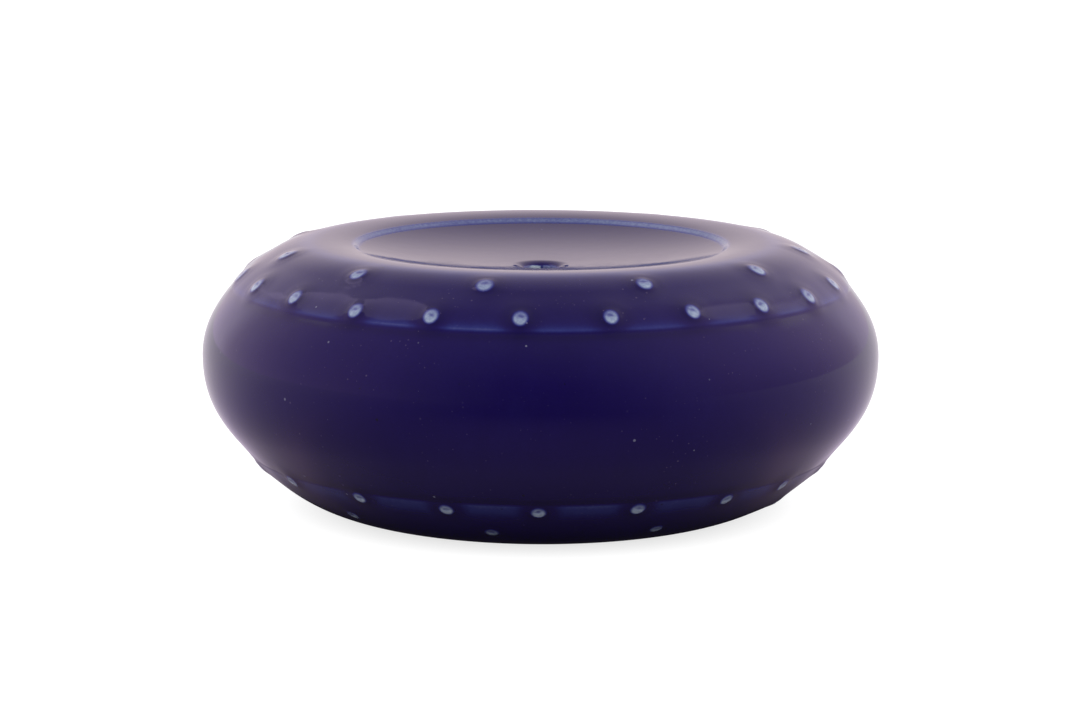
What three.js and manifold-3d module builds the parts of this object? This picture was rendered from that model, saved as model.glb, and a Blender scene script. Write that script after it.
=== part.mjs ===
// Cobalt-glazed porcelain drum vase: a squat closed vessel with a dished top, a stem hole in
// the middle of the dish and two rings of small clay sprigs above and below its belly.
// Millimetres, +Z up. It stands on the plane Z = 0, centred on the Z axis, and its front is -Y.

import * as THREE from "three";
import { mergeVertices } from "three/addons/utils/BufferGeometryUtils.js";
import Module from "manifold-3d";

// Overall form. An inset is how far a circle lies inside the widest circle of the belly.
const bellyRadius = 120;
const bellyHeight = 54;
const overallHeight = 94.1;
const upperEdgeInset = 10.8;
const upperEdgeDrop = 15.3;
const lowerEdgeInset = 16.1;
const lowerEdgeHeight = 20.3;
const bendInset = 24.7;
const bendDrop = 4.3;
const crestInset = 40.5;
const lipTopInset = 50.8;
const lipTopDrop = 1;
const dishEdgeInset = 53.8;
const dishEdgeDrop = 3.05;
const dishDepth = 9.2;

// Slope of the outline at each circle, in degrees below the outward direction.
const dishEdgeSlope = -44;
const lipTopSlope = -11;
const bendSlope = 31;
const upperEdgeSlope = 52;
const lowerEdgeSlope = 131;
const footSlope = 170;

// How far each curve keeps its first and its last direction, as shares of its chord.
const lipFullness = [0.45, 0.25];
const rimFullness = [0.33, 0.33];
const crestFullness = [0.34, 0.34];
const shoulderFullness = [0.32, 0.43];
const upperBellyFullness = [0.3, 0.42];
const lowerBellyFullness = [0.45, 0.34];
const underFullness = [0.38, 0.34];

// Foot ring, walls and joints
const footInset = 48.8;
const footWidth = 5;
const footDepth = 3;
const floorThickness = 7;
const wallThickness = 5;
const dishThickness = 5;
const grooveDepth = 0.35;
const grooveWidth = 2.5;
const slipFilm = 0.3;

// Stem hole
const stemHoleRadius = 6.3;
const holeRollWidth = 4.9;
const holeRollDepth = 2.1;

// Sprigs: low clay cones, each with a dimple in its tip
const sprigRadius = 4.4;
const sprigHeight = 1.35;
const sprigSkirt = 0.3;
const sprigTipRadius = 2.5;
const sprigTipBevel = 0.1;
const dimpleRadius = 1.7;
const dimpleDepth = 0.35;
const sprigRoot = 0.8;
const sprigFilm = 0.25;

// Rows of sprigs. distance is measured along the surface from the belly's edge. Angles are in
// degrees from the front, towards +X. crowding draws a row closer together at the front. sway
// and rise say how far each sprig was set from its even place, in degrees and millimetres.
const sprigRows = {
  upper_sprig: {
    count: 22, distance: 5.3, firstAngle: -69.2, crowding: 3,
    sway: [-0.6, -0.6, 0, -0.4, 0, 0.4, 0.4, 0.2, -1, -2.5],
    rise: [0.6, 0.6, -1, -0.5, 0, 0.3, 0.3, -0.3, -0.5, 0.3],
  },
  crest_sprig: {
    count: 11, distance: 21.4, firstAngle: -77.3, crowding: 3,
    sway: [1.4, 1.7, 0, 1.4, 0.3, -0.3],
    rise: [0.6, 0, -0.4, -0.6, 0, 0.6],
  },
  lower_sprig: {
    count: 20, distance: 2.7, firstAngle: -54, crowding: 0,
    sway: [-1, 0.2, 0.4, -0.3, 0.3, 1.5, -0.8],
    rise: [-1, -0.6, 0.3, 0.3, 0, 0.3, -0.6],
  },
  foot_sprig: {
    count: 10, distance: 17.4, firstAngle: -45, crowding: 0,
    sway: [2, -1, -2],
    rise: [-1, 0, 0.4],
  },
};

// Fineness of the faceted solids
const bodySegments = 72;
const sprigSegments = 12;
const pointsOutside = 5;
const pointsInside = 3;
const pointsInDish = 5;
const pointsInRoll = 3;
const leastStep = 0.001;

const cobaltGlaze = { color: 0x1b1452, roughness: 0.12, metalness: 0 };
const paleGlaze = { color: 0x8a94aa, roughness: 0.2, metalness: 0 };

const wasm = await Module();
wasm.setup();

const radians = THREE.MathUtils.degToRad;
const at = (radius, height) => new THREE.Vector2(radius, height);

// Adds a point to an outline unless the last one lies there already.
function extend(points, point) {
  if (points.length === 0 || point.distanceTo(points.at(-1)) > leastStep) {
    points.push(point);
  }
}

// The named circles of the outline, as radius and height.
const circles = {
  dishEdge: at(bellyRadius - dishEdgeInset, overallHeight - dishEdgeDrop),
  lipTop: at(bellyRadius - lipTopInset, overallHeight - lipTopDrop),
  crest: at(bellyRadius - crestInset, overallHeight),
  bend: at(bellyRadius - bendInset, overallHeight - bendDrop),
  upperEdge: at(bellyRadius - upperEdgeInset, overallHeight - upperEdgeDrop),
  widest: at(bellyRadius, bellyHeight),
  lowerEdge: at(bellyRadius - lowerEdgeInset, lowerEdgeHeight),
  foot: at(bellyRadius - footInset, 0),
};

// A curve that leaves one circle at one slope and reaches the next at another.
function sweep(from, fromSlope, to, toSlope, fullness) {
  const chord = from.distanceTo(to);
  const heading = (slope) => at(Math.cos(radians(slope)), -Math.sin(radians(slope)));
  return new THREE.CubicBezierCurve(
    from,
    from.clone().addScaledVector(heading(fromSlope), chord * fullness[0]),
    to.clone().addScaledVector(heading(toSlope), -chord * fullness[1]),
    to,
  );
}

function joined(...curves) {
  const path = new THREE.CurvePath();
  curves.forEach((curve) => path.add(curve));
  return path;
}

const lip = sweep(circles.dishEdge, dishEdgeSlope, circles.lipTop, lipTopSlope, lipFullness);
const rim = sweep(circles.lipTop, lipTopSlope, circles.crest, 0, rimFullness);
const crest = sweep(circles.crest, 0, circles.bend, bendSlope, crestFullness);
const shoulder = sweep(circles.bend, bendSlope, circles.upperEdge, upperEdgeSlope, shoulderFullness);
const upperBelly = sweep(circles.upperEdge, upperEdgeSlope, circles.widest, 90, upperBellyFullness);
const lowerBelly = sweep(circles.widest, 90, circles.lowerEdge, lowerEdgeSlope, lowerBellyFullness);
const underside = sweep(circles.lowerEdge, lowerEdgeSlope, circles.foot, footSlope, underFullness);

// A path as points, moved along its outward normal by offset.
function outline(path, offset = 0, pointsPerCurve = pointsOutside) {
  const points = [];
  for (const curve of path.curves) {
    for (let i = 0; i <= pointsPerCurve; i += 1) {
      const share = i / pointsPerCurve;
      const tangent = curve.getTangent(share);
      extend(points, curve.getPoint(share).addScaledVector(at(-tangent.y, tangent.x), offset));
    }
  }
  return points;
}

// The stretch of a falling outline between two heights, with its ends exactly on them.
function between(points, high, low) {
  const cut = (a, b, height) => a.clone().lerp(b, (height - a.y) / (b.y - a.y));
  const kept = [];
  points.forEach((point, i) => {
    const previous = points[i - 1];
    for (const height of [high, low]) {
      if (previous && previous.y > height && point.y < height) {
        extend(kept, cut(previous, point, height));
      }
    }
    if (point.y <= high && point.y >= low) {
      extend(kept, point);
    }
  });
  return kept;
}

// A closed outline turned round the Z axis: one solid with merged vertices and outward faces.
function turned(points, segments, upAxis = "z") {
  const lathe = new THREE.LatheGeometry([...points, points[0]], segments);
  if (upAxis === "z") {
    lathe.rotateX(Math.PI / 2);
  }
  lathe.deleteAttribute("normal");
  lathe.deleteAttribute("uv");
  return tidied(mergeVertices(lathe, leastStep / 10));
}

function signedVolume(geometry) {
  const corner = [0, 1, 2].map(() => new THREE.Vector3());
  const index = geometry.getIndex();
  const position = geometry.getAttribute("position");
  let sum = 0;
  for (let i = 0; i < index.count; i += 3) {
    corner.forEach((vertex, k) => vertex.fromBufferAttribute(position, index.getX(i + k)));
    sum += corner[0].dot(corner[1].clone().cross(corner[2])) / 6;
  }
  return sum;
}

// Drops the flat triangles that a lathe leaves on its axis, and turns the faces outward.
function tidied(geometry) {
  const old = geometry.getIndex().array;
  const kept = [];
  for (let i = 0; i < old.length; i += 3) {
    const [a, b, c] = old.slice(i, i + 3);
    if (a !== b && b !== c && c !== a) {
      kept.push(a, b, c);
    }
  }
  geometry.setIndex(kept);
  if (signedVolume(geometry) < 0) {
    geometry.setIndex(kept.reverse());
  }
  return geometry;
}

function toManifold(geometry) {
  return new wasm.Manifold(new wasm.Mesh({
    numProp: 3,
    vertProperties: new Float32Array(geometry.getAttribute("position").array),
    triVerts: new Uint32Array(geometry.getIndex().array),
  }));
}

function fromManifold(solid) {
  const mesh = solid.getMesh();
  const geometry = new THREE.BufferGeometry();
  geometry.setAttribute("position", new THREE.BufferAttribute(new Float32Array(mesh.vertProperties), 3));
  geometry.setIndex(Array.from(mesh.triVerts));
  return geometry;
}

// Inner skin of the hollow, a wall's thickness inside the outline.
const ceilingHeight = circles.dishEdge.y - dishThickness;
const floorHeight = footDepth + floorThickness;
const hollowPath = joined(shoulder, upperBelly, lowerBelly, underside);
const hollowOutline = outline(hollowPath, -wallThickness, pointsInside);

function basePoints() {
  const seam = circles.lowerEdge.y;
  const footInnerRadius = circles.foot.x - footWidth;
  return [
    at(0, footDepth),
    at(0, floorHeight),
    ...between(hollowOutline, seam, floorHeight).reverse(),
    ...outline(joined(underside)),
    at(footInnerRadius, 0),
    at(footInnerRadius - footDepth / 2, footDepth),
  ];
}

// One ring of the belly between two heights. Where it meets the shoulder or the base it dips a
// little behind its neighbour, so that the neighbour's edge stands proud as an arris.
function bellyPoints(curve, top, bottom) {
  const points = outline(joined(curve));
  const dipped = (point) => at(point.x - grooveDepth, point.y);
  let outer;
  if (top === circles.upperEdge.y) {
    outer = between(points, top - grooveWidth, bottom);
    outer.unshift(dipped(points[0]));
  } else {
    outer = between(points, top, bottom + grooveWidth);
    outer.push(dipped(between(points, top, bottom).at(-1)));
  }
  return [...outer, ...between(hollowOutline, top, bottom).reverse()];
}

function shoulderPoints() {
  const seam = circles.upperEdge.y + slipFilm;
  return [
    at(circles.dishEdge.x, ceilingHeight),
    ...outline(joined(lip, rim)),
    ...between(outline(joined(crest, shoulder)), circles.crest.y, seam).slice(1),
    ...between(hollowOutline, ceilingHeight, seam).reverse(),
  ];
}

// The dish: flat round the hole, and rising with the square of the radius towards its edge.
function dishPoints() {
  const edgeRadius = circles.dishEdge.x - slipFilm;
  const rollRadius = stemHoleRadius + holeRollWidth;
  const flatHeight = overallHeight - dishDepth;
  const lift = circles.dishEdge.y - flatHeight;
  const dished = (radius) => flatHeight + lift * (radius / circles.dishEdge.x) ** 2;
  const top = [];
  for (let i = 0; i <= pointsInDish; i += 1) {
    const radius = THREE.MathUtils.lerp(rollRadius, edgeRadius, i / pointsInDish);
    top.push(at(radius, dished(radius)));
  }
  const roll = [];
  for (let i = 0; i < pointsInRoll; i += 1) {
    const turn = (Math.PI / 2) * (i / pointsInRoll);
    const radius = rollRadius - holeRollWidth * Math.cos(turn);
    roll.push(at(radius, top[0].y - holeRollDepth * (1 - Math.sin(turn))));
  }
  const under = [top.at(-1), top[Math.floor(pointsInDish / 2)]].map(
    (point) => at(point.x, point.y - dishThickness),
  );
  return [at(stemHoleRadius, flatHeight - dishThickness), ...roll, ...top, ...under];
}

// One sprig upright on the origin, with a root that reaches below the surface it is luted to.
function sprigGeometry() {
  return turned([
    at(0, -sprigRoot),
    at(sprigRadius, -sprigRoot),
    at(sprigRadius, sprigSkirt),
    at(sprigTipRadius, sprigHeight - sprigTipBevel),
    at(dimpleRadius, sprigHeight),
    at(0, sprigHeight - dimpleDepth),
  ], sprigSegments, "y");
}

const shoulderRun = joined(crest, shoulder);
const sprigPaths = {
  upper_sprig: { path: shoulderRun, fromEnd: true },
  crest_sprig: { path: shoulderRun, fromEnd: true },
  lower_sprig: { path: joined(underside), fromEnd: false },
  foot_sprig: { path: joined(underside), fromEnd: false },
};

// Where sprig number i of a row sits: its point on the surface and the surface's normal there.
function sprigSeat(rowName, i) {
  const row = sprigRows[rowName];
  const { path, fromEnd } = sprigPaths[rowName];
  const even = row.firstAngle + (360 / row.count) * i;
  const angle = radians(even - row.crowding * Math.sin(radians(even)) + (row.sway[i] ?? 0));
  const distance = row.distance + (row.rise[i] ?? 0);
  const length = path.getLength();
  const share = (fromEnd ? length - distance : distance) / length;
  const point = path.getPoint(share);
  const tangent = path.getTangent(share);
  const around = (radius, height) => new THREE.Vector3(
    radius * Math.sin(angle),
    -radius * Math.cos(angle),
    height,
  );
  return { point: around(point.x, point.y), normal: around(-tangent.y, tangent.x).normalize() };
}

function placedSprig(rowName, i) {
  const { point, normal } = sprigSeat(rowName, i);
  const turn = new THREE.Quaternion().setFromUnitVectors(new THREE.Vector3(0, 1, 0), normal);
  return sprigGeometry().applyMatrix4(
    new THREE.Matrix4().compose(point, turn, new THREE.Vector3(1, 1, 1)),
  );
}

// The whole vessel as one plain solid, a slip film larger, which shapes the sprigs' undersides.
function seatCutter() {
  const skin = outline(joined(crest, shoulder, upperBelly, lowerBelly, underside), sprigFilm);
  const last = skin.at(-1);
  return toManifold(turned([at(0, last.y), at(0, skin[0].y), ...skin], bodySegments));
}

function named(name, geometry, material) {
  const mesh = new THREE.Mesh(geometry, new THREE.MeshStandardMaterial({ name, ...material }));
  mesh.name = name;
  return mesh;
}

const vessel = new THREE.Group();
vessel.name = "porcelain_drum_vase";

// The ten sprigs near the foot are luted to the base and counted with it.
let base = toManifold(turned(basePoints(), bodySegments));
for (let i = 0; i < sprigRows.foot_sprig.count; i += 1) {
  base = base.add(toManifold(placedSprig("foot_sprig", i)));
}
vessel.add(named("base", fromManifold(base), cobaltGlaze));
const widest = circles.widest.y;
const lowerBellyPoints = bellyPoints(lowerBelly, widest, circles.lowerEdge.y + slipFilm);
const upperBellyPoints = bellyPoints(upperBelly, circles.upperEdge.y, widest + slipFilm);
vessel.add(named("lower_belly", turned(lowerBellyPoints, bodySegments), cobaltGlaze));
vessel.add(named("upper_belly", turned(upperBellyPoints, bodySegments), cobaltGlaze));
vessel.add(named("shoulder", turned(shoulderPoints(), bodySegments), cobaltGlaze));
vessel.add(named("top_dish", turned(dishPoints(), bodySegments), cobaltGlaze));

const cutter = seatCutter();
for (const rowName of ["upper_sprig", "crest_sprig", "lower_sprig"]) {
  for (let i = 0; i < sprigRows[rowName].count; i += 1) {
    const sprig = toManifold(placedSprig(rowName, i)).subtract(cutter);
    const name = `${rowName}_${String(i + 1).padStart(2, "0")}`;
    vessel.add(named(name, fromManifold(sprig), paleGlaze));
  }
}

export default vessel;
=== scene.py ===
"""Looks for the cobalt-glazed porcelain drum vase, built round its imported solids.

Lengths below are in millimetres until a mesh is made. The vase stands on Z = 0 on the Z axis,
and its front is -Y.
"""
import math
import random

import bpy
import numpy as np
from mathutils import Matrix, Vector


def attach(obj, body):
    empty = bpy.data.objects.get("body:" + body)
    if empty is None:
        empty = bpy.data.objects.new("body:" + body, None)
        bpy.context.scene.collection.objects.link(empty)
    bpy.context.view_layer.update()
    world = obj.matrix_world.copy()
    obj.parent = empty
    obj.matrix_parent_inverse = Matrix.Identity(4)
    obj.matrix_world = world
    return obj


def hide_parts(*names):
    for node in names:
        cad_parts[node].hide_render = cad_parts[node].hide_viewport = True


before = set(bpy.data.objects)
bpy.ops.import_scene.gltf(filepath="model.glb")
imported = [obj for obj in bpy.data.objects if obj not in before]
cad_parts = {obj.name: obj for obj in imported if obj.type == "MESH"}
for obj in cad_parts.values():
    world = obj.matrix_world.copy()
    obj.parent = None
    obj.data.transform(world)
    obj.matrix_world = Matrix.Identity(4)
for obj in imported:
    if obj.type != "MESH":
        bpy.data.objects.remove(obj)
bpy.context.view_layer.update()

MM = 0.001

# ---------------------------------------------------------------- outline
# Circles of the outline, as radius and height.
DISH_EDGE = (64.4, 91.3)
LIP_TOP = (66.6, 92.93)
CREST = (79.5, 94.1)
BEND = (95.3, 89.8)
UPPER_EDGE = (109.2, 78.8)
WIDEST = (120.0, 54.0)
LOWER_EDGE = (103.9, 20.3)
FOOT = (71.2, 0.0)

# The curves between them. A slope is in degrees below the outward direction. The last pair says
# how far a curve keeps its first and its last direction, as shares of its chord.
CURVES = [
    (DISH_EDGE, -24, LIP_TOP, -13, (0.22, 0.22)),
    (LIP_TOP, -11, CREST, 0, (0.33, 0.33)),
    (CREST, 0, BEND, 31, (0.34, 0.34)),
    (BEND, 31, UPPER_EDGE, 52, (0.32, 0.43)),
    (UPPER_EDGE, 52, WIDEST, 90, (0.3, 0.42)),
    (WIDEST, 90, LOWER_EDGE, 131, (0.45, 0.34)),
    (LOWER_EDGE, 131, FOOT, 170, (0.38, 0.34)),
]

# The dish: a shallow cone that curves up to its edge by a power of the radius, with a rolled
# rim round the stem hole.
DISH_FLOOR = 84.85
DISH_CONE = 0.03
DISH_POWER = 3
DISH_THICKNESS = 5.0
HOLE_RADIUS = 6.3
ROLL_WIDTH = 4.1
ROLL_DEPTH = 2.0

WALL = 5.0
FOOT_WIDTH = 5.0
FOOT_DEPTH = 3.0
FLOOR_TOP = 10.0


def heading(slope):
    a = math.radians(slope)
    return np.array([math.cos(a), -math.sin(a)])


def sweep(start, start_slope, end, end_slope, fullness, count=240):
    """Points of the curve that leaves start at one slope and reaches end at the other."""
    a = np.array(start)
    b = np.array(end)
    chord = np.linalg.norm(b - a)
    p = a + heading(start_slope) * chord * fullness[0]
    q = b - heading(end_slope) * chord * fullness[1]
    t = np.linspace(0, 1, count)[:, None]
    return (1 - t) ** 3 * a + 3 * (1 - t) ** 2 * t * p + 3 * (1 - t) * t ** 2 * q + t ** 3 * b


def dish_points(count=600):
    """The dish from the bottom of the stem hole's wall up over its roll and out to the edge."""
    lift = DISH_EDGE[1] - DISH_FLOOR - DISH_CONE * DISH_EDGE[0]
    turn = np.linspace(0, math.pi / 2, 120)
    u = ROLL_WIDTH * np.cos(turn)
    rolled = np.stack([
        HOLE_RADIUS + ROLL_WIDTH - u,
        DISH_FLOOR - ROLL_DEPTH * (1 - np.sin(turn)),
    ], 1)
    radii = np.linspace(HOLE_RADIUS + ROLL_WIDTH, DISH_EDGE[0], count)[1:]
    flat = np.stack([radii, np.full_like(radii, DISH_FLOOR)], 1)
    top = np.concatenate([rolled, flat])
    top[:, 1] += DISH_CONE * top[:, 0] + lift * (top[:, 0] / DISH_EDGE[0]) ** DISH_POWER
    foot = np.array([[HOLE_RADIUS, DISH_FLOOR - DISH_THICKNESS]])
    wall = foot + (top[0] - foot) * np.linspace(0, 1, 40)[:-1, None]
    return np.concatenate([wall, top])


class Outline:
    """The whole glazed outline by its length s: 0 at the dish's edge, negative inside it."""

    def __init__(self):
        parts = [dish_points()] + [sweep(*curve) for curve in CURVES]
        points = [parts[0]]
        marks = [len(parts[0]) - 1]
        for part in parts[1:]:
            points.append(part[1:])
            marks.append(marks[-1] + len(part) - 1)
        self.points = np.concatenate(points)
        step = np.linalg.norm(np.diff(self.points, axis=0), axis=1)
        length = np.concatenate([[0], np.cumsum(step)])
        self.s = length - length[marks[0]]
        (self.dish, self.lip, self.crest, self.bend,
         self.upper, self.widest, self.lower, self.foot) = (self.s[m] for m in marks)
        self.start = self.s[0]
        tangent = np.gradient(self.points, self.s, axis=0)
        tangent /= np.linalg.norm(tangent, axis=1)[:, None]
        self.normals = np.stack([-tangent[:, 1], tangent[:, 0]], 1)

    def at(self, s):
        """Radius and height at s."""
        return (np.interp(s, self.s, self.points[:, 0]), np.interp(s, self.s, self.points[:, 1]))

    def normal(self, s):
        n = (np.interp(s, self.s, self.normals[:, 0]), np.interp(s, self.s, self.normals[:, 1]))
        size = np.hypot(*n)
        return n[0] / size, n[1] / size


line = Outline()

# Length at the rim of the stem hole, where its wall turns into the roll.
RIM_RISE = 0.2
WALL_POINTS = 60
wall_heights = line.points[:WALL_POINTS, 1]
wall_lengths = line.s[:WALL_POINTS]
HOLE_RIM = float(np.interp(DISH_FLOOR - ROLL_DEPTH + RIM_RISE, wall_heights, wall_lengths))


def bump(x, width, power=2):
    return np.exp(-np.abs(x / width) ** power)


def falls(x, reach, before):
    """1 at x = 0, fading slowly as x grows and soon before it."""
    return np.where(x >= 0, np.exp(-np.maximum(x, 0) / reach), np.exp(-(x / before) ** 2))


def step(x, width):
    return 1 / (1 + np.exp(-np.clip(x / width, -40, 40)))


# The belly's skin lies a little behind each of the two edges and comes out again away from them.
UPPER_STEP = dict(depth=0.17, start=0.2, width=0.22, reach=4.0)
LOWER_STEP = dict(depth=0.22, start=0.15, width=0.18, reach=3.5)


def stepped(x, depth, start, width, reach):
    """Height of the skin at a length x from an edge towards the belly, negative behind it."""
    return -depth * step(x - start, width) * np.exp(-np.maximum(x, 0) / reach)


def relief(s):
    """How far the glazed skin stands off the smooth outline."""
    return stepped(s - line.upper, **UPPER_STEP) + stepped(line.lower - s, **LOWER_STEP)


def skin(s):
    """Radius and height of the glazed skin at s, away from the sprigs."""
    r, z = line.at(s)
    nr, nz = line.normal(s)
    d = relief(s)
    return r + nr * d, z + nz * d


# ---------------------------------------------------------------- sprigs
# Rows of sprigs: distance along the outline from the nearest edge, first angle in degrees from
# the front, how far a row is drawn together there, and each sprig's own shift round the vase
# (sway) and along the outline (rise). pale is the thickness of glaze on the sprigs, and stretch
# draws that thin patch out along the outline.
ROWS = {
    "upper_sprig": dict(
        count=22, distance=5.3, first=-69.2, crowding=2.6,
        sway=[-0.6, -0.6, 0, -0.4, 0, 0.4, 0.4, 0.2, -1, -2.5],
        rise=[0.6, 0.6, -1, -0.5, 0, 0.3, 0.3, -0.3, -0.5, 0.3],
        above=True, size=1.0, pale=0.255, stretch=1.16),
    "crest_sprig": dict(
        count=11, distance=21.4, first=-77.3, crowding=2.2,
        sway=[1.4, 1.7, 0, 1.4, 0.3, -0.3],
        rise=[0.6, 0, -0.4, -0.6, 0, 0.6], above=True, size=1.06, pale=0.33, stretch=1.18),
    "lower_sprig": dict(
        count=20, distance=2.7, first=-54, crowding=0,
        sway=[-1, 0.2, 0.4, -0.3, 0.3, 1.5, -0.8],
        rise=[-1, -0.6, 0.3, 0.3, 0, 0.3, -0.6], above=False, size=0.92, pale=0.14, stretch=1.05),
    "foot_sprig": dict(
        count=10, distance=16.9, first=-45, crowding=0,
        sway=[2, -1, -2],
        rise=[-1, 0, 0.4], above=False, size=0.88, pale=0.25, stretch=1.0),
}
SPRIG_HEIGHT = 0.40
SPRIG_REACH = 5.6
SIDE_THINNING = 0.45

# The mound of slip under a sprig, and the pool of glaze round it, which softens the edge's step.
# The pool also darkens the glaze round each sprig, partly as a painted shade.
SWELL_HEIGHT = 0.42
SWELL_REACH = 6.2
SWELL_FADE = (7.0, 12.0)
POOL_REACH = 6.2
POOL_POWER = 3.5
POOL_SOFTENS = 0.55
SPRIG_FIELD = 16.0


def sprig_seats():
    """Name, length along the outline, angle from the front and character of every sprig."""
    dice = random.Random(11)
    seats = []
    for name, row in ROWS.items():
        for i in range(row["count"]):
            even = row["first"] + 360 / row["count"] * i
            sway = row["sway"][i] if i < len(row["sway"]) else 0
            rise = row["rise"][i] if i < len(row["rise"]) else 0
            angle = math.radians(even - row["crowding"] * math.sin(math.radians(even)) + sway)
            distance = row["distance"] + rise
            from_side = 1 - SIDE_THINNING * math.sin(angle) ** 2
            seats.append(dict(
                name=f"{name}_{i + 1:02d}",
                row=name,
                s=line.upper - distance if row["above"] else line.lower + distance,
                angle=angle,
                size=row["size"] * dice.uniform(0.95, 1.05),
                tall=dice.uniform(0.92, 1.06),
                oval=dice.uniform(0.94, 1.08),
                twist=dice.uniform(0, math.pi),
                tear=dice.uniform(0.05, 0.16),
                dimple=dice.uniform(0.6, 1.2),
                dimple_at=(dice.uniform(-0.3, 0.3), dice.uniform(-0.8, -0.3)),
                lean=dice.uniform(-0.5, 0.5),
                pale=row["pale"] * dice.uniform(0.85, 1.12) * from_side,
                stretch=row["stretch"],
            ))
    return seats


seats = sprig_seats()


def around(a):
    return (a + math.pi) % (2 * math.pi) - math.pi


def from_sprigs(s, angle):
    """Every sprig that is near enough to matter, with the distance from it."""
    r = line.at(s)[0]
    for seat in seats:
        if np.any(np.abs(s - seat["s"]) < SPRIG_FIELD):
            yield seat, np.hypot(s - seat["s"], r * around(angle - seat["angle"]))


def sprig_shade(s, angle):
    """How strongly the pool of glaze, partly painted shade, round the nearest sprig shows at a
    point, from 0 to 1.
    """
    shade = np.zeros(np.broadcast(s, angle).shape)
    for _, away in from_sprigs(s, angle):
        shade = np.maximum(shade, bump(away, POOL_REACH, POOL_POWER))
    return shade


def swell(s, angle):
    """Height of the soft mound of slip and glaze under and round each sprig."""
    height = np.zeros(np.broadcast(s, angle).shape)
    near, far = SWELL_FADE
    for seat, away in from_sprigs(s, angle):
        mound = bump(away, SWELL_REACH) * np.clip((far - away) / (far - near), 0, 1)
        height = height + SWELL_HEIGHT * seat["tall"] * mound
    return height


def surface(s, angle, lift=0.0):
    """Point of the glazed skin at s and angle, with its mounds, raised by lift."""
    softened = 1 - POOL_SOFTENS * sprig_shade(s, angle)
    r, z = line.at(s)
    nr, nz = line.normal(s)
    d = relief(s) * softened + swell(s, angle) + lift
    r = r + nr * d
    z = z + nz * d
    return np.stack([r * np.sin(angle), -r * np.cos(angle), z + 0 * r], -1)


NORMAL_STEP = 0.02


def surface_normal(s, angle, lift=None):
    """Outward normal there. lift is a height by s and angle, if the surface carries one."""
    def spot(ds, da):
        s2 = s + ds
        a2 = angle + da
        return surface(s2, a2, lift(s2, a2) if lift else 0.0)

    ds = NORMAL_STEP
    da = NORMAL_STEP / np.maximum(line.at(s)[0], 1.0)
    along = spot(ds, 0) - spot(-ds, 0)
    across = spot(0, da) - spot(0, -da)
    n = np.cross(along, across)
    return n / np.linalg.norm(n, axis=-1, keepdims=True)


WANDER_WAVES = 5
WANDER_PEAK = 1.6


def wander(angle, seed):
    """A slow unevenness round the vase, about -1 to 1."""
    dice = random.Random(seed)
    total = 0
    for k in range(1, WANDER_WAVES + 1):
        total = total + np.sin((k + 1) * angle + dice.uniform(0, 6.3)) / k
    return total / WANDER_PEAK


# Where the glaze runs thin: by what share of its thickness, how much that varies round the vase,
# and where and how wide, as lengths away from the edge or circle.
UPPER_LINE = dict(thin=0.31, varies=0.06, seed=3, at=1.0, reach=2.2, before=1.15)
LOWER_LINE = dict(thin=0.17, varies=0.05, seed=4, at=0.4, reach=1.6, before=0.5)
LOWER_BAND = dict(thin=0.25, at=3.0, width=4.4, start=0.2, soft=0.2)
LIP_BAND = dict(thin=0.60, varies=0.04, seed=5, at=1.5, width=1.75, power=3)
CREST_BANDS = [dict(thin=0.16, at=4, width=7), dict(thin=0.16, at=3, width=3)]

# Where it pools: beyond the two edges, on the belly's side, and round the sprigs. The ring round
# each sprig is pooled glaze and partly a painted shade where the sheen dips.
UPPER_POOL = dict(thick=0.10, at=-1.7, width=1.6)
LOWER_POOL = dict(thick=0.14, at=-2.0, width=1.8)
SPRIG_POOL_AND_SHADE = 0.14


def edge_line(x, angle, thin, varies, seed, at, reach, before):
    """Share of the glaze that is missing at a length x from an edge, away from the belly."""
    return (thin + varies * wander(angle, seed)) * falls(x - at, reach, before)


def glaze(s, angle):
    """Thickness of the coloured glaze: 1 on the open wall, less where it thins on an edge."""
    shade = sprig_shade(s, angle)
    up = line.upper - s
    down = s - line.lower
    band = LOWER_BAND["thin"] * step(down - LOWER_BAND["start"], LOWER_BAND["soft"])
    band = band * bump(down - LOWER_BAND["at"], LOWER_BAND["width"])
    lines = edge_line(up, angle, **UPPER_LINE) + edge_line(down, angle, **LOWER_LINE) + band
    t = 1 - lines * (1 - shade)
    for x, pool in ((up, UPPER_POOL), (down, LOWER_POOL)):
        t = t + pool["thick"] * bump(x - pool["at"], pool["width"])
    lip = bump(s - line.dish - LIP_BAND["at"], LIP_BAND["width"], LIP_BAND["power"])
    t = t - (LIP_BAND["thin"] + LIP_BAND["varies"] * wander(angle, LIP_BAND["seed"])) * lip
    for band in CREST_BANDS:
        t = t - band["thin"] * bump(s - line.crest - band["at"], band["width"])
    # Round each sprig the glaze is thicker and darker: pooled glaze, and partly a painted shade.
    return t + SPRIG_POOL_AND_SHADE * shade


# Glaze in the stem hole. Its ragged lower end is a sum of waves: how many round the hole, how
# high and at what phase. Heights are from the rim, and angles in degrees from the front.
RAGGED_WAVES = [(5, 0.5, 1.1), (11, 0.35, 0.4), (23, 0.25, 0.0)]
HOLE_FULL = 0.95
HOLE_END = -1.6
HOLE_THICKNESS = 0.40
PALE_PATCH = dict(angle=-161, width=0.33, power=4)
PALE_PATCH_THIN = 0.30
DARK_GAP = dict(angle=177, width=0.07, power=2)
DARK_GAP_THICK = 0.35


def round_at(turn, angle, width, power):
    """1 at that angle round the vase, falling away over a width in radians."""
    return bump(around(turn - math.radians(angle)), width, power)


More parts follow.
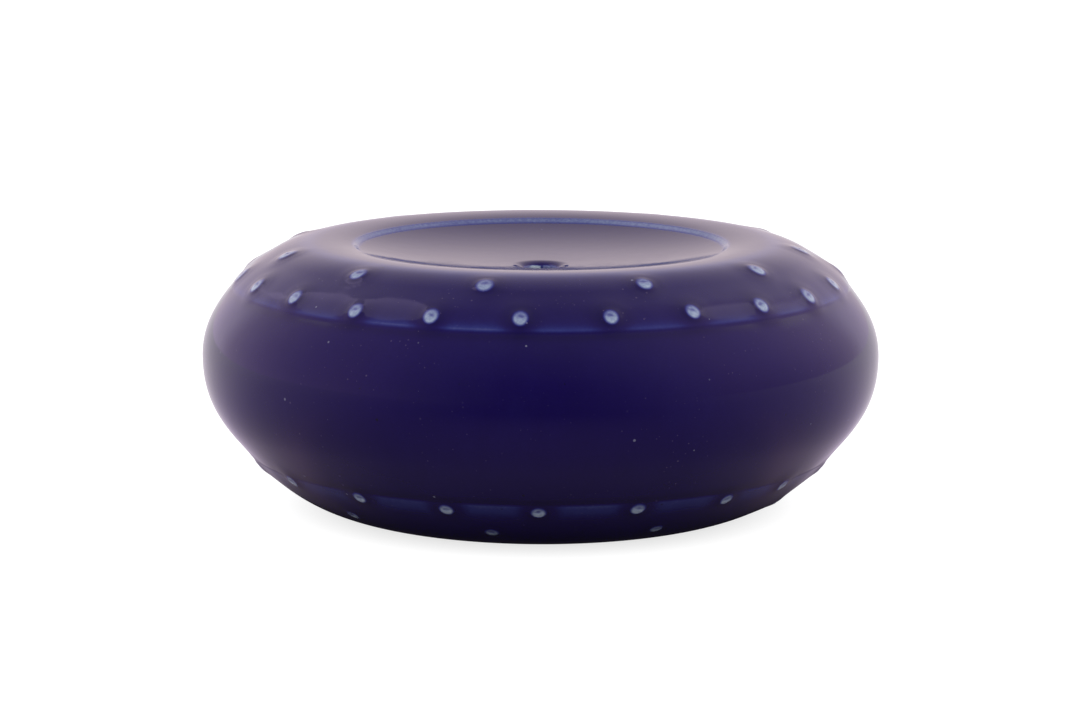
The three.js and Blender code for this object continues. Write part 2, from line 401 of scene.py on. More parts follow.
def hole_glaze(s, angle):
    """Glaze inside the stem hole: it runs thin in a ragged line on the wall, and bare below."""
    ragged = sum(high * np.sin(count * angle + phase) for count, high, phase in RAGGED_WAVES)
    thin = HOLE_THICKNESS + 0.05 * ragged
    thin = thin - PALE_PATCH_THIN * round_at(angle, **PALE_PATCH)
    thin = thin + DARK_GAP_THICK * round_at(angle, **DARK_GAP)
    covered = step(s - HOLE_RIM - HOLE_FULL - 0.2 * ragged, 0.12)
    ended = step(s - HOLE_RIM - HOLE_END - 0.3 * ragged, 0.15)
    return (thin + (1 - thin) * covered) * ended


# ---------------------------------------------------------------- meshes
ROUND = 384


def make_object(name, vertices, faces, normals, sharp, glaze_values, bare_values):
    """A mesh object from vertices in millimetres. normals has one vector per face corner."""
    mesh = bpy.data.meshes.new(name)
    mesh.from_pydata([tuple(v) for v in np.asarray(vertices) * MM], [], faces)
    mesh.polygons.foreach_set("use_smooth", [True] * len(mesh.polygons))
    wanted = {tuple(sorted(pair)) for pair in sharp}
    marks = [tuple(sorted(edge.vertices)) in wanted for edge in mesh.edges]
    mesh.attributes.new("sharp_edge", "BOOLEAN", "EDGE").data.foreach_set("value", marks)
    mesh.attributes.new("glaze", "FLOAT", "POINT").data.foreach_set("value", glaze_values)
    mesh.attributes.new("bare", "FLOAT", "POINT").data.foreach_set("value", bare_values)
    mesh.normals_split_custom_set(normals)
    mesh.update()
    obj = bpy.data.objects.new(name, mesh)
    bpy.context.scene.collection.objects.link(obj)
    return obj


ANGLES = np.arange(ROUND) * 2 * math.pi / ROUND


class Lathe:
    """Collects rings of one turned piece. Rings of one group share smooth normals."""

    def __init__(self):
        self.rings = []

    def ring(self, points, group, normals=None, thick=1.0, bare=0.0):
        """points is (radius, height), or one point for each angle."""
        if isinstance(points, tuple):
            r, z = points
            if r > 1e-6:
                points = np.stack(
                    [r * np.sin(ANGLES), -r * np.cos(ANGLES), np.full(ROUND, z)], 1)
            else:
                points = np.array([[0.0, 0.0, z]])
        count = len(points)
        if normals is not None:
            normals = np.broadcast_to(normals, (count, 3))
        self.rings.append((
            points, group, normals,
            np.broadcast_to(thick, ROUND)[:count], np.broadcast_to(bare, ROUND)[:count]))

    def build(self):
        rings = self.rings
        starts = np.cumsum([0] + [len(ring[0]) for ring in rings])
        vertices = np.concatenate([ring[0] for ring in rings])
        thick = np.concatenate([ring[3] for ring in rings]).tolist()
        bare = np.concatenate([ring[4] for ring in rings]).tolist()
        faces, normals, sharp = [], [], []
        for j in range(len(rings)):
            k = (j + 1) % len(rings)
            sizes = {j: len(rings[j][0]), k: len(rings[k][0])}
            if sizes[j] == 1 and sizes[k] == 1:
                continue
            shared = rings[j][1] == rings[k][1] and rings[j][2] is not None
            for i in range(ROUND):
                n = (i + 1) % ROUND
                corners = [(j, i), (k, i), (k, n), (j, n)]
                if sizes[k] == 1:
                    corners = [(j, i), (k, 0), (j, n)]
                if sizes[j] == 1:
                    corners = [(j, 0), (k, i), (k, n)]
                faces.append([int(starts[ring]) + spot for ring, spot in corners])
                for ring, spot in corners:
                    normals.append(tuple(rings[ring][2][spot]) if shared else (0, 0, 0))
            for ring in (j, k):
                edge = rings[ring - 1][1] != rings[ring][1]
                edge = edge or rings[ring][1] != rings[(ring + 1) % len(rings)][1]
                if sizes[ring] > 1 and (edge or not shared):
                    first = int(starts[ring])
                    sharp.extend((first + i, first + (i + 1) % ROUND) for i in range(ROUND))
        return vertices, faces, normals, sharp, thick, bare


# How far apart the rings of a skin lie, by the distance from the nearest edge.
RING_AWAY = [0.8, 2.5, 8]
RING_STEP = [0.13, 0.4, 1.0]
LEAST_STEP = 0.03
EDGES = [line.dish, line.dish + 2.0, line.lip, line.upper, line.lower]


def skin_steps(low, high, edges):
    """Lengths from low to high, close together near the edges."""
    values = [low]
    while values[-1] < high:
        near = min(abs(values[-1] - e) for e in edges)
        values.append(values[-1] + float(np.interp(near, RING_AWAY, RING_STEP)))
    values[-1] = high
    if values[-1] - values[-2] < LEAST_STEP:
        values.pop(-2)
    return values


def skin_ring(lathe, s, thickness=glaze, bare=None):
    lathe.ring(
        surface(s, ANGLES), "skin", surface_normal(s, ANGLES), thickness(s, ANGLES),
        0.0 if bare is None else bare(s, ANGLES))


def add_skin(lathe, low, high):
    for s in skin_steps(low, high, EDGES):
        skin_ring(lathe, s)


def inner_points(s_values):
    r, z = line.at(np.array(s_values))
    nr, nz = line.normal(np.array(s_values))
    return [(float(a), float(b)) for a, b in zip(r - WALL * nr, z - WALL * nz)]


def add_inner(lathe, points, group="inside"):
    for point in points:
        lathe.ring(point, group, None, 0.0, 1.0)


# Where one piece's skin ends and the next begins.
SEAM_PAST_EDGE = 0.45
CUT_DISH = -0.3
CUT_UPPER = line.upper + SEAM_PAST_EDGE
CUT_WIDEST = line.widest
CUT_LOWER = line.lower - SEAM_PAST_EDGE


def under_dish(s):
    """Point of the dish's underside below s."""
    r, z = skin(s)
    return float(r), float(z) - DISH_THICKNESS


def top_dish():
    lathe = Lathe()

    def thickness(s, angle):
        return glaze(s, angle) * hole_glaze(s, angle)

    def bare(s, angle):
        return step(HOLE_RIM + HOLE_END - s, 0.2)

    for s in skin_steps(line.start + 0.05, CUT_DISH, [line.dish, line.start + 2.5]):
        skin_ring(lathe, s, thickness, bare)
    add_inner(lathe, [under_dish(CUT_DISH), under_dish(CUT_DISH - 30)], "under")
    return lathe


def shoulder():
    lathe = Lathe()
    add_skin(lathe, CUT_DISH, CUT_UPPER)
    inside = inner_points(np.linspace(line.upper - 1.5, line.bend, 6))
    seam_height = float(line.at(CUT_UPPER)[1])
    add_inner(lathe, [(inside[0][0], seam_height)] + inside + [under_dish(CUT_DISH)])
    return lathe


def belly(low, high):
    lathe = Lathe()
    add_skin(lathe, low, high)
    add_inner(lathe, inner_points(np.linspace(high, low, 7)))
    return lathe


# The foot: its rounded outer corner, the bevel of the recess and the thin glaze inside that.
FOOT_ROUND = 0.9
RECESS_BEVEL = 1.2
RECESS_GLAZE = 0.14
BEVEL_GLAZE = 0.25


def base():
    lathe = Lathe()
    foot_end = line.foot - FOOT_ROUND
    add_skin(lathe, CUT_LOWER, foot_end)
    inner = FOOT[0] - FOOT_WIDTH
    outer = float(skin(foot_end)[0])
    for r in np.linspace(outer - 0.5, inner + 0.4, 8):
        lathe.ring((float(r), 0.0), "rest", (0.0, 0.0, -1.0), 0.0, 1.0)
    lathe.ring((inner, 0.3), "recess", None, 0.0, 1.0)
    lathe.ring((inner - RECESS_BEVEL, FOOT_DEPTH - 0.5), "recess", None, BEVEL_GLAZE, 0.0)
    for r in (inner - 2.0, inner - 8.0, 40.0, 20.0, 0.0):
        lathe.ring((r, FOOT_DEPTH), "recess", None, RECESS_GLAZE, 0.0)
    wall = [p for p in inner_points(np.linspace(line.foot, CUT_LOWER, 14)) if p[1] > FLOOR_TOP]
    floor = [(0.0, FLOOR_TOP), (60.0, FLOOR_TOP), (wall[0][0] - 2.0, FLOOR_TOP)]
    add_inner(lathe, floor + wall)
    return lathe


# A sprig: a low cone, a little oval and sagging, that ends in a soft hem at SPRIG_REACH.
CONE_RADIUS = 3.2
CONE_HEM = 2.6
CONE_OVAL = 0.05
CONE_SAG = 0.07
CONE_LIFT = 0.006
SPRIG_ROOT = 0.25
DIMPLE_DEPTH = 0.26
DIMPLE_POWER = 2.4

# Its glaze: thin on the cap, full over CAP_FADE beyond it, which is shorter on the upper side.
CAP_REACH = 1.65
CAP_FADE = 1.5
CAP_FADE_LEAN = 0.5
CAP_LEAN = 0.03
DIMPLE_POOL = 0.22
DIMPLE_RING = 0.07


def slit(across, along, seat):
    """Place on a sprig measured from its dimple, along and across the dimple's length."""
    x = across - seat["dimple_at"][0]
    y = along - seat["dimple_at"][1]
    lean = seat["lean"]
    return (x * math.cos(lean) + y * math.sin(lean), y * math.cos(lean) - x * math.sin(lean))


def sprig_height(rho, phi, seat):
    """Height of a sprig over its mound at a distance and a direction from its middle."""
    turned = phi - seat["twist"]
    reach = rho / seat["size"] * (1 + CONE_OVAL * np.cos(2 * turned) * seat["oval"])
    reach = reach * (1 - CONE_SAG * np.sin(phi))
    window = np.clip((SPRIG_REACH - rho) / CONE_HEM, 0, 1)
    cone = np.exp(-(reach / CONE_RADIUS) ** 2) * window * window * (3 - 2 * window)
    x, y = slit(rho * np.cos(phi), rho * np.sin(phi), seat)
    hollow = DIMPLE_DEPTH * seat["dimple"] * bump(np.hypot(x / 1.5, y / 0.95), 1.0, DIMPLE_POWER)
    return SPRIG_HEIGHT * seat["tall"] * cone - hollow * cone + CONE_LIFT


def sprig_thickness(rho, phi, seat, ground):
    """Glaze on a sprig: thin and pale on the cap, pooled in the dimple and round the foot."""
    across = rho * np.cos(phi)
    along = rho * np.sin(phi)
    reach = np.hypot(across, along / seat["stretch"]) / seat["size"]
    reach = reach * (1 - seat["tear"] * np.sin(phi))
    pale = seat["pale"] + CAP_LEAN * np.clip(-along, -3, 3)
    edge = np.clip((reach - CAP_REACH) / (CAP_FADE - CAP_FADE_LEAN * np.sin(phi)), 0, 1)
    edge = edge * (0.4 + 0.6 * edge)
    t = pale + (ground - pale) * edge
    x, y = slit(across, along, seat)
    pool = bump(np.hypot(x / 1.2, y / 0.6), 1.0, DIMPLE_POWER)
    ring = bump(np.hypot(x / 1.9, y / 1.3), 1.0, 4)
    return t + seat["dimple"] * (DIMPLE_POOL * pool + DIMPLE_RING * ring)


def sprig_mesh(seat, rings=22, spokes=44):
    """Vertices, faces, normals, sharp edges and glaze of one sprig that hugs the skin."""
    rho = SPRIG_REACH * (np.arange(rings + 1) / rings) ** 0.9
    phi = np.arange(spokes) * 2 * math.pi / spokes
    grid_rho, grid_phi = np.meshgrid(rho[1:], phi, indexing="ij")

    def seat_of(rr, pp):
        s = seat["s"] + rr * np.sin(pp)
        return s, seat["angle"] + rr * np.cos(pp) / line.at(seat["s"])[0]

    def lift(s, angle):
        x = (angle - seat["angle"]) * line.at(seat["s"])[0]
        y = s - seat["s"]
        return sprig_height(np.hypot(x, y), np.arctan2(y, x), seat)

    zero = np.array(0.0)
    s, angle = seat_of(grid_rho, grid_phi)
    middle_s, middle_angle = seat_of(zero, zero)
    top = surface(s, angle, sprig_height(grid_rho, grid_phi, seat))
    centre = surface(middle_s, middle_angle, sprig_height(zero, zero, seat))
    t = sprig_thickness(grid_rho, grid_phi, seat, glaze(s, angle))
    centre_t = sprig_thickness(zero, zero, seat, glaze(middle_s, middle_angle))
    under = surface(s[-1], angle[-1], -SPRIG_ROOT)
    under_centre = surface(middle_s, middle_angle, -SPRIG_ROOT)
    vertex_normals = [surface_normal(middle_s, middle_angle, lift)]
    vertex_normals.extend(surface_normal(s, angle, lift).reshape(-1, 3))
    vertices = [centre] + list(top.reshape(-1, 3)) + list(under) + [under_centre]
    thick = [float(centre_t)] + t.reshape(-1).tolist() + [1.0] * (spokes + 1)
    faces, normals, sharp = [], [], []

    def top_index(ring, spoke):
        return 1 + ring * spokes + spoke % spokes

    base_index = 1 + rings * spokes
    for i in range(spokes):
        faces.append([0, top_index(0, i + 1), top_index(0, i)])
    for ring in range(rings - 1):
        for i in range(spokes):
            faces.append([top_index(ring, i), top_index(ring, i + 1),
                          top_index(ring + 1, i + 1), top_index(ring + 1, i)])
    for face in faces:
        normals.extend(tuple(vertex_normals[v]) for v in face)
    for i in range(spokes):
        n = (i + 1) % spokes
        outer = (top_index(rings - 1, i), top_index(rings - 1, i + 1))
        faces.append([outer[0], outer[1], base_index + n, base_index + i])
        faces.append([base_index + i, base_index + n, base_index + spokes])
        normals.extend([(0, 0, 0)] * 7)
        sharp.append(outer)
        sharp.append((base_index + i, base_index + n))
    return vertices, faces, normals, sharp, thick, [0.0] * len(thick)


def joined(meshes):
    """Several meshes of this kind as one."""
    total = ([], [], [], [], [], [])
    for vertices, faces, normals, sharp, thick, bare in meshes:
        shift = len(total[0])
        moved_faces = [[v + shift for v in face] for face in faces]
        moved_sharp = [(a + shift, b + shift) for a, b in sharp]
        for whole, more in zip(total, (vertices, moved_faces, normals, moved_sharp, thick, bare)):
            whole.extend(more)
    return total


# ---------------------------------------------------------------- materials
def node(tree, kind, values=None, **settings):
    """A node of that kind. Values are sockets to link from, or plain values, by input."""
    made = tree.nodes.new(kind)
    for key, value in settings.items():
        setattr(made, key, value)
    for key, value in (values or {}).items():
        if isinstance(value, bpy.types.NodeSocket):
            tree.links.new(value, made.inputs[key])
        else:
            made.inputs[key].default_value = value
    return made


def calc(tree, operation, a, b=0.0, c=0.0, clamp=False):
    made = node(tree, "ShaderNodeMath", {0: a, 1: b, 2: c}, operation=operation, use_clamp=clamp)
    return made.outputs[0]


def ranged(tree, value, low, high, out_low=0.0, out_high=1.0):
    """Smooth step of value from low to high."""
    made = node(tree, "ShaderNodeMapRange", {
        "Value": value, "From Min": low, "From Max": high, "To Min": out_low, "To Max": out_high,
    }, interpolation_type="SMOOTHSTEP")
    return made.outputs[0]


def ramp(tree, value, stops):
    made = node(tree, "ShaderNodeValToRGB", {"Fac": value})
    elements = made.color_ramp.elements
    while len(elements) < len(stops):
        elements.new(0.5)
    for element, (place, colour) in zip(elements, stops):
        element.position = place
        element.color = (*colour, 1.0)
    return made.outputs["Color"]


def noise(tree, vector, scale, detail, roughness, distortion=0.0):
    made = node(tree, "ShaderNodeTexNoise", {
        "Vector": vector, "Scale": scale, "Detail": detail,
        "Roughness": roughness, "Distortion": distortion,
    })
    return made.outputs["Fac"]


def mix(tree, factor, a, b):
    """Colour a where factor is 0, and colour b where it is 1."""
    made = node(tree, "ShaderNodeMix", {"Factor": factor, "A": a, "B": b}, data_type="RGBA")
    return made.outputs["Result"]


def spots(tree, vector, density, radius, share, soft):
    """Round spots in a share of the cells of a random lattice with that many cells to the metre.

    Each is 0.4 to 1.4 times that radius in metres.
    """
    cells = node(tree, "ShaderNodeTexVoronoi", {
        "Vector": vector, "Scale": density, "Randomness": 1.0,
    })
    pick = node(tree, "ShaderNodeSeparateColor", {"Color": cells.outputs["Color"]})
    in_cells = radius * density
    size = calc(tree, "MULTIPLY_ADD", pick.outputs[1], in_cells, in_cells * 0.4)
    inside = node(tree, "ShaderNodeMapRange", {
        "Value": calc(tree, "DIVIDE", cells.outputs["Distance"], size),
        "From Min": 1.0, "From Max": 1.0 - soft, "To Min": 0.0, "To Max": 1.0,
    })
    chosen = calc(tree, "LESS_THAN", pick.outputs[0], share)
    return calc(tree, "MULTIPLY", inside.outputs[0], chosen)


# Colour of the glaze from none at all, at 0, to GLAZE_DEPTHS times its usual thickness, at 1.
GLAZE_DEPTHS = 1.3
GLAZE_COLOURS = [
    (0.00, (0.60, 0.68, 0.75)),
    (0.17, (0.295, 0.355, 0.475)),
    (0.35, (0.106, 0.119, 0.292)),
    (0.53, (0.0220, 0.0265, 0.166)),
    (0.63, (0.0118, 0.0102, 0.117)),
    (0.70, (0.0092, 0.0042, 0.088)),
    (0.77, (0.0075, 0.0020, 0.073)),
    (0.92, (0.0050, 0.0012, 0.045)),
    (1.00, (0.0036, 0.0010, 0.030)),
]
CLAY_COLOURS = [(0.3, (0.55, 0.53, 0.50)), (0.7, (0.66, 0.64, 0.61))]
SPRIG_TINT = (0.97, 0.97, 1.05)

# Noises: scale per metre, detail and roughness, and for the runs their distortion too.
CLOUDS = (22.0, 3.0, 0.55)
RUNS = (120.0, 4.0, 0.6, 0.4)
MOTTLE = (950.0, 3.0, 0.65)
CLUSTERS = (38.0, 2.0, 0.5)
TOOTH = (1400.0, 4.0, 0.7)
WEAR = (60.0, 5.0, 0.6)
RIPPLE = (210.0, 2.0, 0.4)

# How much thickness they add and take. Thin glaze is mottled more than thick glaze.
CLOUD_AMOUNT = 0.13
RUN_AMOUNT = 0.10
RUN_LENGTHENING = (1.0, 1.0, 0.28)
MOTTLE_THIN = 0.34
MOTTLE_THICK = 0.09

# Specks: cells to the metre, radius in metres, share of the cells that hold one, and softness.
DUST = (480.0, 0.00026, 0.75, 0.8)
GRIT = (300.0, 0.00036, 0.55, 0.8)
PALE_SPECKS = (200.0, 0.00042, 0.12, 0.5)
DARK_SPECKS = (150.0, 0.00055, 0.20, 0.5)
DUST_COLOUR = (0.42, 0.33, 0.46, 1.0)
PALE_COLOUR = (0.34, 0.34, 0.46, 1.0)
DARK_COLOUR = (0.004, 0.003, 0.012, 1.0)

# Surface: roughness of wet-looking and of handled glaze and of clay, and heights in metres.
GLOSS = 0.055
WORN_GLOSS = 0.12
CLAY_ROUGHNESS = 0.62
WHEEL_RINGS = 230.0
RIPPLE_HEIGHT = 0.000016
CLAY_GRAIN = 0.00004
GLAZE_IOR = 1.5


def glazed(name, wheel, tint=(1.0, 1.0, 1.0)):
    """Cobalt glaze over porcelain. Its colour follows its thickness, and bare clay is matt."""
    material = bpy.data.materials.new(name)
    material.use_nodes = True
    tree = material.node_tree
    tree.nodes.clear()
    place = node(tree, "ShaderNodeTexCoord").outputs["Object"]
    parts = node(tree, "ShaderNodeSeparateXYZ", {"Vector": place})
    thick = node(tree, "ShaderNodeAttribute", attribute_name="glaze").outputs["Fac"]
    bare = node(tree, "ShaderNodeAttribute", attribute_name="bare").outputs["Fac"]

    def varied(value, by, amount):
        return calc(tree, "MULTIPLY_ADD", calc(tree, "SUBTRACT", by, 0.5), amount, value)

    # Thickness: broad clouds, short runs down the wall and fine mottling.
    drawn = node(tree, "ShaderNodeMapping", {"Vector": place, "Scale": RUN_LENGTHENING})
    mottle_amount = ranged(tree, thick, 0.25, 0.7, MOTTLE_THIN, MOTTLE_THICK)
    uneven = varied(thick, noise(tree, place, *CLOUDS), CLOUD_AMOUNT)
    uneven = varied(uneven, noise(tree, drawn.outputs[0], *RUNS), RUN_AMOUNT)
    uneven = varied(uneven, noise(tree, place, *MOTTLE), mottle_amount)
    shades = [(depth, tuple(a * b for a, b in zip(colour, tint)))
              for depth, colour in GLAZE_COLOURS]
    colour = ramp(tree, calc(tree, "DIVIDE", uneven, GLAZE_DEPTHS, clamp=True), shades)

    # Lilac dust and grit in loose clusters, and a few pale and dark specks.
    cluster = ranged(tree, noise(tree, place, *CLUSTERS), 0.46, 0.62, 0.15, 1.0)
    dust = calc(tree, "MULTIPLY", spots(tree, place, *DUST), cluster)
    grit = calc(tree, "MULTIPLY", spots(tree, place, *GRIT), cluster)
    pale = spots(tree, place, *PALE_SPECKS)
    dark = spots(tree, place, *DARK_SPECKS)
    dusty = calc(tree, "MULTIPLY_ADD", grit, 0.16, calc(tree, "MULTIPLY", dust, 0.12))
    colour = mix(tree, dusty, colour, DUST_COLOUR)
    colour = mix(tree, calc(tree, "MULTIPLY", pale, 0.45), colour, PALE_COLOUR)
    colour = mix(tree, calc(tree, "MULTIPLY", dark, 0.7), colour, DARK_COLOUR)

    # Unglazed clay: warm white with a fine tooth.
    tooth = noise(tree, place, *TOOTH)
    colour = mix(tree, bare, colour, ramp(tree, tooth, CLAY_COLOURS))

    # Gloss: hard and wet, dulled a little by handling.
    gloss = ranged(tree, noise(tree, place, *WEAR), 0.35, 0.75, GLOSS, WORN_GLOSS)
    gloss = node(tree, "ShaderNodeMix", {"Factor": bare, "A": gloss, "B": CLAY_ROUGHNESS})

    # Relief: a faint ripple in the glaze, the wheel's rings under it, and the pale specks.
    rings = node(tree, "ShaderNodeTexNoise", {
        "W": parts.outputs["Z"], "Scale": WHEEL_RINGS, "Detail": 2.0,
    }, noise_dimensions="1D").outputs["Fac"]
    ripple = noise(tree, place, *RIPPLE)
    height = calc(tree, "MULTIPLY_ADD", rings, 0.5 if wheel else 0.0, ripple)
    height = calc(tree, "MULTIPLY_ADD", pale, 0.5, height)
    bumped = node(tree, "ShaderNodeBump", {
        "Height": height, "Distance": RIPPLE_HEIGHT, "Strength": 1.0,
    })
    grain = node(tree, "ShaderNodeBump", {
        "Height": tooth, "Distance": CLAY_GRAIN, "Strength": bare, "Normal": bumped.outputs[0],
    })
    shader = node(tree, "ShaderNodeBsdfPrincipled", {
        "Base Color": colour, "Roughness": gloss.outputs["Result"], "IOR": GLAZE_IOR,
        "Normal": grain.outputs[0],
    })
    end = node(tree, "ShaderNodeOutputMaterial")
    tree.links.new(shader.outputs[0], end.inputs["Surface"])
    return material


cobalt = glazed("cobalt_glaze", True)
sprig_cobalt = glazed("sprig_glaze", False, SPRIG_TINT)


# ---------------------------------------------------------------- pieces
def place_piece(name, nodes, mesh_parts, material):
    piece = make_object(name, *mesh_parts)
    piece.data.materials.append(material)
    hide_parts(*nodes)
    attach(piece, "root")
    return piece


sprig_meshes = {seat["name"]: sprig_mesh(seat) for seat in seats}
foot_sprigs = [sprig_meshes[seat["name"]] for seat in seats if seat["row"] == "foot_sprig"]

place_piece("glazed_top_dish", ["top_dish"], top_dish().build(), cobalt)
place_piece("glazed_shoulder", ["shoulder"], shoulder().build(), cobalt)
place_piece("glazed_upper_belly", ["upper_belly"],
            belly(CUT_UPPER, CUT_WIDEST).build(), cobalt)
place_piece("glazed_lower_belly", ["lower_belly"],
            belly(CUT_WIDEST, CUT_LOWER).build(), cobalt)
place_piece("glazed_base", ["base"], joined([base().build()] + foot_sprigs), cobalt)
for seat in seats:
    if seat["row"] != "foot_sprig":
        place_piece("glazed_" + seat["name"], [seat["name"]], sprig_meshes[seat["name"]],
                    sprig_cobalt)


# ---------------------------------------------------------------- floor and light
# Colours of the room and the floor in the glaze, from 0 in front to 0.5 at the sides and 1 at
# the back. The room turns into ROOM_HIGH overhead. The floor glows with its colours only in the
# glaze, as a painted reflection, and has its own painted colours near by.
ROOM_LOW = [
    (0.000, (0.050, 0.055, 0.070)),
    (0.067, (0.130, 0.115, 0.190)),
    (0.180, (0.260, 0.205, 0.370)),
    (0.330, (0.420, 0.310, 0.540)),
    (0.500, (0.530, 0.400, 0.700)),
    (0.670, (0.700, 0.530, 0.850)),
    (0.820, (0.850, 0.680, 0.920)),
    (0.885, (1.060, 0.900, 1.150)),
    (0.940, (0.980, 0.830, 1.060)),
    (1.000, (0.900, 0.770, 0.810)),
]
ROOM_HIGH = (0.28, 0.25, 0.26, 1.0)
FLOOR_FAR = [
    (0.00, (0.050, 0.055, 0.070)),
    (0.07, (0.130, 0.115, 0.190)),
    (0.18, (0.260, 0.205, 0.370)),
    (0.33, (0.420, 0.330, 0.540)),
    (0.50, (0.560, 0.450, 0.680)),
    (0.67, (0.760, 0.640, 0.840)),
    (0.82, (0.900, 0.800, 0.920)),
    (1.00, (0.940, 0.870, 0.930)),
]
FLOOR_NEAR = [
    (0.08, (0.185, 0.150, 0.210)),
    (0.20, (0.290, 0.225, 0.310)),
    (0.27, (0.420, 0.310, 0.420)),
    (0.38, (0.460, 0.370, 0.480)),
    (0.55, (0.600, 0.500, 0.620)),
]

# How far the room has turned into ROOM_HIGH, by the height of the direction.
RISE_BACK = [(0.24, 0.0), (0.41, 0.22), (0.53, 0.42), (0.77, 0.62), (0.87, 0.72), (1.0, 1.0)]
RISE_FRONT = [(0.30, 0.0), (0.50, 0.10), (0.64, 0.26), (0.77, 0.36), (0.87, 0.62), (1.0, 1.0)]

# Two lit panels overhead: corners by azimuth and elevation, and softness of the edges. Their
# colour goes by the direction round the room.
PANELS = [
    ([(-142, 24), (-141, 60), (-86, 67), (-88, 56), (-105, 42), (-122, 32)], 0.012),
    ([(132, 25), (126, 54), (99, 60), (95, 52), (104, 42), (122, 29)], 0.05),
]
PANEL_COLOURS = [
    (0.60, (0.80, 0.69, 0.82)),
    (0.80, (0.93, 0.79, 1.00)),
    (0.88, (1.09, 0.92, 1.22)),
]

# The room is uneven from left to right: less on the right low down, and more there higher up.
RIGHT_LEVEL = -0.16
RIGHT_BY_HEIGHT = 0.28
RIGHT_ONLY = 0.5

# Distances from the vase's axis, in metres, over which the floor passes from under the vase to
# open floor: to the camera, in the glaze and to the soft light, and from near to far. Under the
# vase each of the three carries a painted shadow; to the camera it adds to the lit one.
FLOOR_HALF = 12.0
FLOOR_DROP = 0.0002
SEEN_SHADOW = (0.066, 0.106)
MIRRORED_SHADOW = (0.078, 0.128)
DIM_SHADOW = (0.07, 0.13)
NEAR_TO_FAR = (0.14, 0.42)
SEEN_SHADOW_LIGHT = 0.74
FLOOR_WHITE = (1.0, 1.0, 1.0, 1.0)
FLOOR_GREY = (0.34, 0.34, 0.34, 1.0)
# Painted shadow under the vase: in the glaze, and in the light bounced back onto it.
MIRRORED_PAINTED_SHADOW = (0.012, 0.010, 0.016, 1.0)
DIM_PAINTED_SHADOW = (0.06, 0.06, 0.07, 1.0)
DIM_OPEN = (0.30, 0.29, 0.31, 1.0)


def turned(tree, x, y):
    """0 toward the front, 0.5 at the sides and 1 at the back, by the direction x, y."""
    square = calc(tree, "MULTIPLY_ADD", y, y, 0.000001)
    flat = calc(tree, "SQRT", calc(tree, "MULTIPLY_ADD", x, x, square))
    return calc(tree, "MULTIPLY_ADD", calc(tree, "DIVIDE", y, flat), 0.5, 0.5)


def floor_material():
    """White to the camera with the vase's soft shadow, partly lit and partly painted; in the
    glaze it glows with a painted reflection, dark in front.
    """
    material = bpy.data.materials.new("floor")
    material.use_nodes = True
    tree = material.node_tree
    tree.nodes.clear()
    place = node(tree, "ShaderNodeTexCoord").outputs["Object"]
    parts = node(tree, "ShaderNodeSeparateXYZ", {"Vector": place})
    away = node(tree, "ShaderNodeVectorMath", {0: place}, operation="LENGTH").outputs["Value"]
    path = node(tree, "ShaderNodeLightPath")

    # To the camera: a lit grey floor, plus a white glow that dims near the foot as a painted
    # shadow
    shaded = node(tree, "ShaderNodeBsdfDiffuse", {"Color": FLOOR_GREY})
    plain = node(tree, "ShaderNodeEmission", {
        "Color": FLOOR_WHITE,
        "Strength": ranged(tree, away, *SEEN_SHADOW, SEEN_SHADOW_LIGHT, 1.0),
    })
    seen = node(tree, "ShaderNodeAddShader", {0: shaded.outputs[0], 1: plain.outputs[0]})

    # In the glaze the floor glows: a painted reflection, with a painted shadow under the vase.
    # The far colours begin sooner at the sides and the back than in front.
    turn = turned(tree, parts.outputs["X"], parts.outputs["Y"])
    near = mix(tree, ranged(tree, away, *MIRRORED_SHADOW), MIRRORED_PAINTED_SHADOW,
               ramp(tree, turn, FLOOR_NEAR))
    sooner = ranged(tree, turn, 0.1, 0.8, 1.0, 2.4)
    far = ranged(tree, calc(tree, "MULTIPLY", away, sooner), *NEAR_TO_FAR)
    colour = mix(tree, far, near, ramp(tree, turn, FLOOR_FAR))
    mirrored = node(tree, "ShaderNodeEmission", {"Color": colour})

    # To the soft light: a grey floor, darker near the vase as a painted shadow that holds back
    # the light bounced onto the vase
    dim = node(tree, "ShaderNodeBsdfDiffuse", {
        "Color": mix(tree, ranged(tree, away, *DIM_SHADOW), DIM_PAINTED_SHADOW, DIM_OPEN),
    })
    unseen = node(tree, "ShaderNodeMixShader", {
        0: path.outputs["Is Glossy Ray"], 1: dim.outputs[0], 2: mirrored.outputs[0],
    })
    both = node(tree, "ShaderNodeMixShader", {
        0: path.outputs["Is Camera Ray"], 1: unseen.outputs[0], 2: seen.outputs[0],
    })
    end = node(tree, "ShaderNodeOutputMaterial")
    tree.links.new(both.outputs[0], end.inputs["Surface"])
    return material


def add_floor():
    mesh = bpy.data.meshes.new("floor")
    half = FLOOR_HALF
    corners = [(-half, -half, 0), (half, -half, 0), (half, half, 0), (-half, half, 0)]
    mesh.from_pydata(corners, [], [(0, 1, 2, 3)])
    mesh.materials.append(floor_material())
    obj = bpy.data.objects.new("floor", mesh)
    bpy.context.scene.collection.objects.link(obj)
    obj.location.z = -FLOOR_DROP


def grey_ramp(tree, value, stops):
    return ramp(tree, value, [(place, (level,) * 3) for place, level in stops])


def toward(azimuth, elevation):
    """Unit vector by azimuth from the front, positive to the right, and elevation in degrees."""
    a = math.radians(azimuth)
    e = math.radians(elevation)
    return Vector((math.sin(a) * math.cos(e), -math.cos(a) * math.cos(e), math.sin(e)))


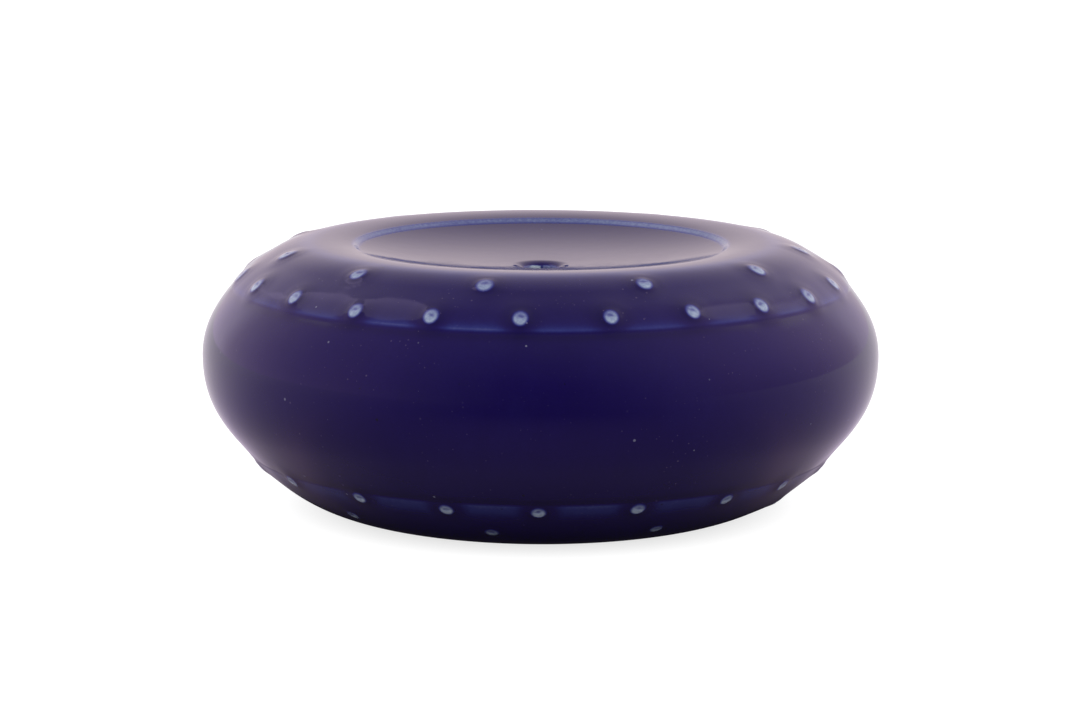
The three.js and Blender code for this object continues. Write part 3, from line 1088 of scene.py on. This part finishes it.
def panel(tree, direction, corners, soft):
    """1 inside the panel and 0 outside it, over a soft edge."""
    points = [toward(*corner) for corner in corners]
    middle = sum(points, Vector())
    inside = 1.0
    for a, b in zip(points, points[1:] + points[:1]):
        side = a.cross(b).normalized()
        if side.dot(middle) < 0:
            side.negate()
        reach = node(tree, "ShaderNodeVectorMath", {0: direction, 1: side},
                     operation="DOT_PRODUCT").outputs["Value"]
        inside = calc(tree, "MULTIPLY", ranged(tree, reach, -soft, soft), inside)
    return inside


def add_world():
    """A plain room for the reflections and an even white dome for the light itself."""
    world = bpy.data.worlds.new("room")
    bpy.context.scene.world = world
    world.use_nodes = True
    tree = world.node_tree
    tree.nodes.clear()
    direction = node(tree, "ShaderNodeTexCoord").outputs["Generated"]
    parts = node(tree, "ShaderNodeSeparateXYZ", {"Vector": direction})
    x, y, z = (parts.outputs[axis] for axis in "XYZ")
    turn = turned(tree, x, y)
    rise = mix(tree, ranged(tree, turn, 0.7, 1.0), grey_ramp(tree, z, RISE_FRONT),
               grey_ramp(tree, z, RISE_BACK))
    room = mix(tree, rise, ramp(tree, turn, ROOM_LOW), ROOM_HIGH)
    lit = ramp(tree, turn, PANEL_COLOURS)
    for corners, soft in PANELS:
        room = mix(tree, panel(tree, direction, corners, soft), room, lit)
    mirrored = node(tree, "ShaderNodeLightPath").outputs["Is Glossy Ray"]
    shown = mix(tree, mirrored, (1.0, 1.0, 1.0, 1.0), room)
    side = calc(tree, "MULTIPLY_ADD", z, RIGHT_BY_HEIGHT, RIGHT_LEVEL)
    right = calc(tree, "MULTIPLY", calc(tree, "MAXIMUM", x, 0.0), z)
    lean = calc(tree, "MULTIPLY_ADD", right, RIGHT_ONLY, calc(tree, "MULTIPLY", side, x))
    back = node(tree, "ShaderNodeBackground", {
        "Color": shown, "Strength": calc(tree, "MULTIPLY_ADD", lean, mirrored, 1.0),
    })
    end = node(tree, "ShaderNodeOutputWorld")
    tree.links.new(back.outputs[0], end.inputs["Surface"])


# The camera: lens and sensor in millimetres, place in metres, and angles in degrees.
CAMERA_LENS = 109.17
CAMERA_SENSOR = 36.0
CAMERA_PLACE = (0.0, -1.151, 0.2538)
CAMERA_TURN = 0.0105
CAMERA_TILT = 80.0688
CAMERA_ROLL = 0.17


def add_camera():
    camera = bpy.data.cameras.new("camera")
    camera.lens = CAMERA_LENS
    camera.sensor_width = CAMERA_SENSOR
    camera.clip_start = 0.01
    camera.clip_end = 100.0
    obj = bpy.data.objects.new("camera", camera)
    bpy.context.scene.collection.objects.link(obj)
    turn = Matrix.Rotation(math.radians(CAMERA_TURN), 4, "Z")
    tilt = Matrix.Rotation(math.radians(CAMERA_TILT), 4, "X")
    roll = Matrix.Rotation(math.radians(CAMERA_ROLL), 4, "Z")
    obj.matrix_world = Matrix.Translation(CAMERA_PLACE) @ turn @ tilt @ roll
    bpy.context.scene.camera = obj


add_camera()
add_floor()
add_world()
bpy.context.scene.view_settings.view_transform = "Standard"
